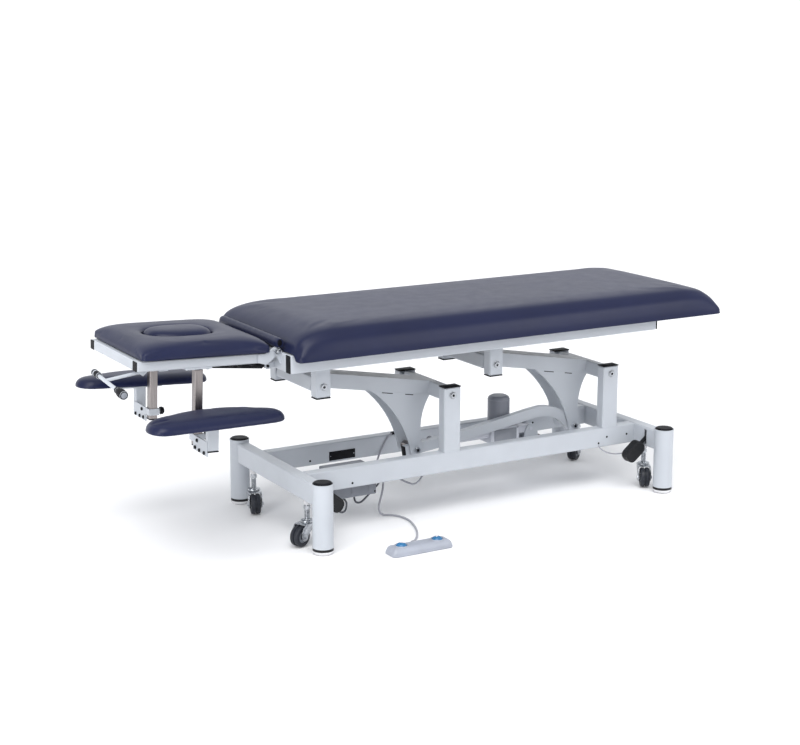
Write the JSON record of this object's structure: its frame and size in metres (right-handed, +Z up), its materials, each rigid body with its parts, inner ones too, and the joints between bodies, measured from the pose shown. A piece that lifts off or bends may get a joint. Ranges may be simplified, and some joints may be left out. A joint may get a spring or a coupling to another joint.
{
  "type": "medical exam table",
  "caption": "Electric height-adjustable treatment couch on a parallelogram lift base, with a tilting head section, drop armrests, retractable castors and a foot switch.",
  "frame": {"origin": "floor point under the middle of the couch's bounding box", "axes": "+X towards the foot end, +Y towards the far side (the side away from the foot switch), +Z up"},
  "size_m": [2.1131, 0.8321, 0.68],
  "materials": {
    "frame_enamel": "smooth light grey powder coat, semi-gloss",
    "navy_vinyl": "dark navy upholstery vinyl, fine grain, soft sheen",
    "black_plastic": "black moulded plastic, satin",
    "grey_plastic": "grey moulded plastic, satin",
    "pale_plastic": "pale grey moulded plastic, satin",
    "blue_button": "glossy mid-blue plastic",
    "stainless_steel": "brushed stainless steel",
    "zinc_plate": "bright zinc-plated steel",
    "castor_tyre": "dark grey solid castor rubber",
    "black_rubber": "black moulded rubber, matte",
    "cable_jacket": "pale grey flexible cable jacket"
  },
  "bodies": {
    "base": {"base_frame": "frame_enamel", "post_cap_left_near": "black_plastic", "post_cap_left_far": "black_plastic", "post_cap_right_near": "black_plastic", "post_cap_right_far": "black_plastic", "foot_left_near": "black_rubber", "foot_left_far": "black_rubber", "foot_right_near": "black_rubber", "foot_right_far": "black_rubber", "base_shaft_left": "zinc_plate", "base_shaft_right": "zinc_plate", "control_box": "grey_plastic", "foot_switch": "pale_plastic", "switch_cord": "cable_jacket"},
    "arm_left": {"arm_left": "frame_enamel"},
    "arm_right": {"arm_right": "frame_enamel"},
    "table": {"table_frame": "frame_enamel", "frame_cap_near": "black_plastic", "frame_cap_far": "black_plastic", "body_cushion": "navy_vinyl", "gap_pad": "navy_vinyl", "top_shaft_left": "zinc_plate", "top_shaft_right": "zinc_plate", "hinge_bolt_near": "zinc_plate", "hinge_bolt_far": "zinc_plate"},
    "tie_link": {"tie_link": "frame_enamel"},
    "actuator_housing": {"actuator_housing": "grey_plastic"},
    "actuator_rod": {"actuator_rod": "stainless_steel"},
    "head": {"head_frame": "frame_enamel", "head_cap_near": "black_plastic", "head_cap_far": "black_plastic", "head_cushion": "navy_vinyl", "armrest_post_near": "stainless_steel", "armrest_post_far": "stainless_steel"},
    "face_plug": {"face_plug": "navy_vinyl"},
    "release_handle": {"release_handle": "frame_enamel"},
    "gas_spring_body": {"gas_spring_body": "black_plastic"},
    "gas_spring_rod": {"gas_spring_rod": "stainless_steel"},
    "armrest_near": {"armrest_bracket_near": "frame_enamel", "armrest_pad_near": "navy_vinyl"},
    "clamp_knob_near": {"clamp_knob_near": "black_plastic"},
    "armrest_far": {"armrest_bracket_far": "frame_enamel", "armrest_pad_far": "navy_vinyl"},
    "clamp_knob_far": {"clamp_knob_far": "black_plastic"},
    "pedal_left": {"pedal_left": "black_rubber"},
    "castor_carriage_left": {"castor_carriage_left": "zinc_plate"},
    "switch_button_left": {"switch_button_left": "blue_button"},
    "castor_fork_left_near": {"castor_fork_left_near": "zinc_plate"},
    "castor_wheel_left_near": {"castor_wheel_left_near": "castor_tyre"},
    "castor_fork_left_far": {"castor_fork_left_far": "zinc_plate"},
    "castor_wheel_left_far": {"castor_wheel_left_far": "castor_tyre"},
    "pedal_right": {"pedal_right": "black_rubber"},
    "castor_carriage_right": {"castor_carriage_right": "zinc_plate"},
    "switch_button_right": {"switch_button_right": "blue_button"},
    "castor_fork_right_near": {"castor_fork_right_near": "zinc_plate"},
    "castor_wheel_right_near": {"castor_wheel_right_near": "castor_tyre"},
    "castor_fork_right_far": {"castor_fork_right_far": "zinc_plate"},
    "castor_wheel_right_far": {"castor_wheel_right_far": "castor_tyre"}
  },
  "joints": [
    {"name": "lift", "type": "hinge", "parent": "base", "child": "arm_left", "pos_m": [0.09195, 0.02595, 0.392], "axis": [0, 1, 0], "range_deg": [-18, 35]},
    {"name": "arm_right_pivot", "type": "hinge", "parent": "base", "child": "arm_right", "pos_m": [0.71055, 0.02595, 0.392], "axis": [0, 1, 0], "range_deg": [-19, 36]},
    {"name": "table_pivot", "type": "hinge", "parent": "arm_left", "child": "table", "pos_m": [-0.36523, 0.02595, 0.47302], "axis": [0, 1, 0], "range_deg": [-36, 19]},
    {"name": "tie_link_pivot", "type": "hinge", "parent": "arm_left", "child": "tie_link", "pos_m": [0.02655, 0.00095, 0.196], "axis": [0, 1, 0], "range_deg": [-36, 19]},
    {"name": "actuator_tail_pivot", "type": "hinge", "parent": "base", "child": "actuator_housing", "pos_m": [0.49655, 0.04095, 0.197], "axis": [0, 1, 0], "range_deg": [-5, 8]},
    {"name": "actuator_stroke", "type": "slide", "parent": "actuator_housing", "child": "actuator_rod", "axis": [-1, 0, 0], "range_m": [-0.06, 0.11]},
    {"name": "head_tilt", "type": "hinge", "parent": "table", "child": "head", "pos_m": [-0.53545, 0.02595, 0.61], "axis": [0, 1, 0], "range_deg": [-35, 25]},
    {"name": "face_plug_lift", "type": "slide", "parent": "head", "child": "face_plug", "axis": [0.0401, 0, 0.9992], "range_m": [0, 0.12]},
    {"name": "release_lever", "type": "hinge", "parent": "head", "child": "release_handle", "pos_m": [-0.93304, -0.11205, 0.57843], "axis": [0, 1, 0], "range_deg": [0, 6], "stiffness_Nm_per_rad": 0.6},
    {"name": "gas_spring_pivot", "type": "hinge", "parent": "table", "child": "gas_spring_body", "pos_m": [-0.54545, -0.11205, 0.556], "axis": [0, 1, 0], "range_deg": [-40, 30]},
    {"name": "gas_spring_stroke", "type": "slide", "parent": "gas_spring_body", "child": "gas_spring_rod", "axis": [-0.9931, 0, 0.1176], "range_m": [-0.04, 0.03]},
    {"name": "armrest_height_near", "type": "slide", "parent": "head", "child": "armrest_near", "axis": [0.0401, 0, 0.9992], "range_m": [-0.01, 0.1]},
    {"name": "clamp_turn_near", "type": "hinge", "parent": "armrest_near", "child": "clamp_knob_near", "pos_m": [-0.76029, -0.14705, 0.37684], "axis": [0.9992, 0, -0.0401], "continuous": true},
    {"name": "armrest_height_far", "type": "slide", "parent": "head", "child": "armrest_far", "axis": [0.0401, 0, 0.9992], "range_m": [-0.01, 0.1]},
    {"name": "clamp_turn_far", "type": "hinge", "parent": "armrest_far", "child": "clamp_knob_far", "pos_m": [-0.76029, 0.19895, 0.37684], "axis": [0.9992, 0, -0.0401], "continuous": true},
    {"name": "pedal_press_left", "type": "hinge", "parent": "base", "child": "pedal_left", "pos_m": [-0.44045, -0.19405, 0.186], "axis": [0, 1, 0], "range_deg": [0, 12]},
    {"name": "castor_drop_left", "type": "slide", "parent": "base", "child": "castor_carriage_left", "axis": [0, 0, -1], "range_m": [0, 0.01205]},
    {"name": "castor_swivel_left_near", "type": "hinge", "parent": "castor_carriage_left", "child": "castor_fork_left_near", "pos_m": [-0.44045, -0.16405, 0.07], "axis": [0, 0, 1], "continuous": true},
    {"name": "castor_spin_left_near", "type": "hinge", "parent": "castor_fork_left_near", "child": "castor_wheel_left_near", "pos_m": [-0.47175, -0.17733, 0.034], "axis": [0.3907, -0.9205, 0], "continuous": true},
    {"name": "castor_swivel_left_far", "type": "hinge", "parent": "castor_carriage_left", "child": "castor_fork_left_far", "pos_m": [-0.44045, 0.21595, 0.07], "axis": [0, 0, 1], "continuous": true},
    {"name": "castor_spin_left_far", "type": "hinge", "parent": "castor_fork_left_far", "child": "castor_wheel_left_far", "pos_m": [-0.45096, 0.18361, 0.034], "axis": [0.9511, -0.309, 0], "continuous": true},
    {"name": "button_press_left", "type": "slide", "parent": "base", "child": "switch_button_left", "axis": [0, 0, -1], "range_m": [0, 0.003], "stiffness_N_per_m": 400},
    {"name": "pedal_press_right", "type": "hinge", "parent": "base", "child": "pedal_right", "pos_m": [0.83355, -0.19405, 0.186], "axis": [0, -1, 0], "range_deg": [0, 12]},
    {"name": "castor_drop_right", "type": "slide", "parent": "base", "child": "castor_carriage_right", "axis": [0, 0, -1], "range_m": [0, 0.01205]},
    {"name": "castor_swivel_right_near", "type": "hinge", "parent": "castor_carriage_right", "child": "castor_fork_right_near", "pos_m": [0.83355, -0.16405, 0.07], "axis": [0, 0, 1], "continuous": true},
    {"name": "castor_spin_right_near", "type": "hinge", "parent": "castor_fork_right_near", "child": "castor_wheel_right_near", "pos_m": [0.81655, -0.19349, 0.034], "axis": [0.866, -0.5, 0], "continuous": true},
    {"name": "castor_swivel_right_far", "type": "hinge", "parent": "castor_carriage_right", "child": "castor_fork_right_far", "pos_m": [0.83355, 0.21595, 0.07], "axis": [0, 0, 1], "continuous": true},
    {"name": "castor_spin_right_far", "type": "hinge", "parent": "castor_fork_right_far", "child": "castor_wheel_right_far", "pos_m": [0.80536, 0.19694, 0.034], "axis": [0.5592, -0.829, 0], "continuous": true},
    {"name": "button_press_right", "type": "slide", "parent": "base", "child": "switch_button_right", "axis": [0, 0, -1], "range_m": [0, 0.003], "stiffness_N_per_m": 400}
  ],
  "couplings": [
    {"joint": "arm_right_pivot", "follows": "lift", "ratio": 1},
    {"joint": "table_pivot", "follows": "lift", "ratio": -1},
    {"joint": "tie_link_pivot", "follows": "lift", "ratio": -1},
    {"joint": "actuator_tail_pivot", "follows": "lift", "ratio": 0.185},
    {"joint": "actuator_stroke", "follows": "lift", "m_per_rad": 0.1767},
    {"joint": "gas_spring_pivot", "follows": "head_tilt", "ratio": 1.03},
    {"joint": "gas_spring_stroke", "follows": "head_tilt", "m_per_rad": 0.0515},
    {"joint": "castor_drop_left", "follows": "pedal_press_left", "m_per_rad": 0.0573},
    {"joint": "castor_drop_right", "follows": "pedal_press_right", "m_per_rad": 0.0573}
  ]
}
